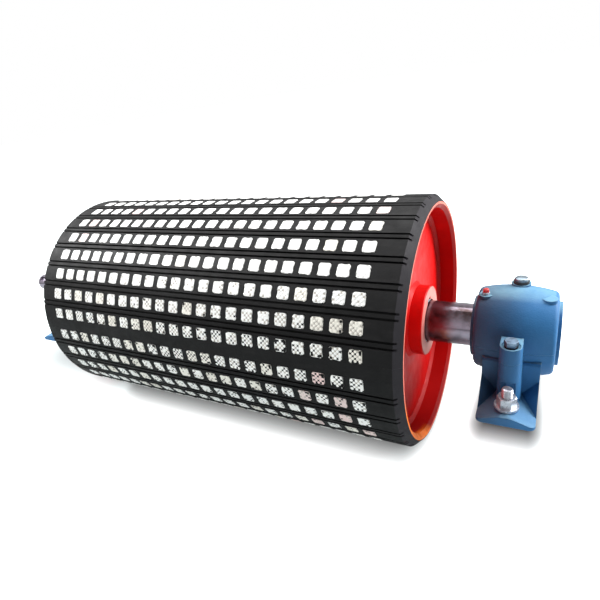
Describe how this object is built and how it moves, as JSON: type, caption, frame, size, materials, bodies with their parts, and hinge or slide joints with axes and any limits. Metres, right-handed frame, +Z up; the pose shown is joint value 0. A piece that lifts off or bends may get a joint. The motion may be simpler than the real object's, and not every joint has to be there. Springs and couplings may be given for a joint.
{
  "type": "lagged conveyor drive pulley",
  "caption": "Rubber-lagged conveyor drive pulley with ceramic tiles on a keyed shaft, carried by a split bearing block at each end.",
  "frame": {"origin": "midway between the two bearing blocks, in the plane that their feet stand on; the shaft's axis is 80 mm above it", "axes": "+X along the shaft towards the closed bearing block, -X towards the drive end, +Z up, -Y towards the front of the feet"},
  "size_m": [1.236, 0.4266, 0.4263],
  "materials": {
    "block_paint": "satin blue enamel on cast iron",
    "drum_paint": "gloss red enamel on steel plate",
    "shaft_steel": "turned steel under dark rust-proofing oil",
    "key_steel": "bright drawn key steel",
    "rubber": "moulded matt rubber",
    "ceramic": "white alumina, lightly soiled",
    "zinc": "bright zinc plate",
    "black_steel": "blackened steel",
    "bearing_steel": "ground bearing steel",
    "cage_brass": "pressed brass",
    "felt": "oiled wool felt",
    "cover_rubber": "moulded cover painted with the block",
    "seal_black": "matt sealing washer",
    "cap_red": "moulded plastic"
  },
  "bodies": {
    "mounting": {"right_base": "block_paint", "right_cap": "block_paint", "left_base": "block_paint", "left_cap": "block_paint", "cap_bolts": "black_steel", "spring_washers": "black_steel", "cap_dowels": "bearing_steel", "foot_studs": "zinc", "foot_nuts": "zinc", "foot_washers": "zinc", "top_plugs": "black_steel", "plug_washers": "seal_black", "grease_nipples": "zinc", "nipple_caps": "cap_red", "right_outer_ring": "bearing_steel", "left_outer_ring": "bearing_steel", "locating_rings": "bearing_steel", "shaft_felts": "felt", "end_cover": "cover_rubber"},
    "rotor": {"shaft": "shaft_steel", "hub_keys": "key_steel", "right_hub": "drum_paint", "left_hub": "drum_paint", "right_end_disc": "drum_paint", "left_end_disc": "drum_paint", "drum_shell": "drum_paint", "lagging_sheet_1": "rubber", "lagging_sheet_2": "rubber", "lagging_sheet_3": "rubber", "lagging_strips": "rubber", "tiles_1": "ceramic", "tiles_2": "ceramic", "tiles_3": "ceramic", "right_inner_ring": "bearing_steel", "left_inner_ring": "bearing_steel", "right_locknut": "black_steel", "left_locknut": "black_steel", "lock_washers": "zinc"},
    "right_rolling": {"right_balls": "bearing_steel", "right_cage": "cage_brass"},
    "left_rolling": {"left_balls": "bearing_steel", "left_cage": "cage_brass"}
  },
  "joints": [
    {"name": "drum_spin", "type": "hinge", "parent": "mounting", "child": "rotor", "pos_m": [0, 0, 0.08], "axis": [1, 0, 0], "continuous": true},
    {"name": "right_cage_spin", "type": "hinge", "parent": "mounting", "child": "right_rolling", "pos_m": [0.5, 0, 0.08], "axis": [1, 0, 0], "continuous": true},
    {"name": "left_cage_spin", "type": "hinge", "parent": "mounting", "child": "left_rolling", "pos_m": [-0.5, 0, 0.08], "axis": [1, 0, 0], "continuous": true}
  ],
  "couplings": [
    {"joint": "right_cage_spin", "follows": "drum_spin", "ratio": 0.4124},
    {"joint": "left_cage_spin", "follows": "drum_spin", "ratio": 0.4124}
  ]
}
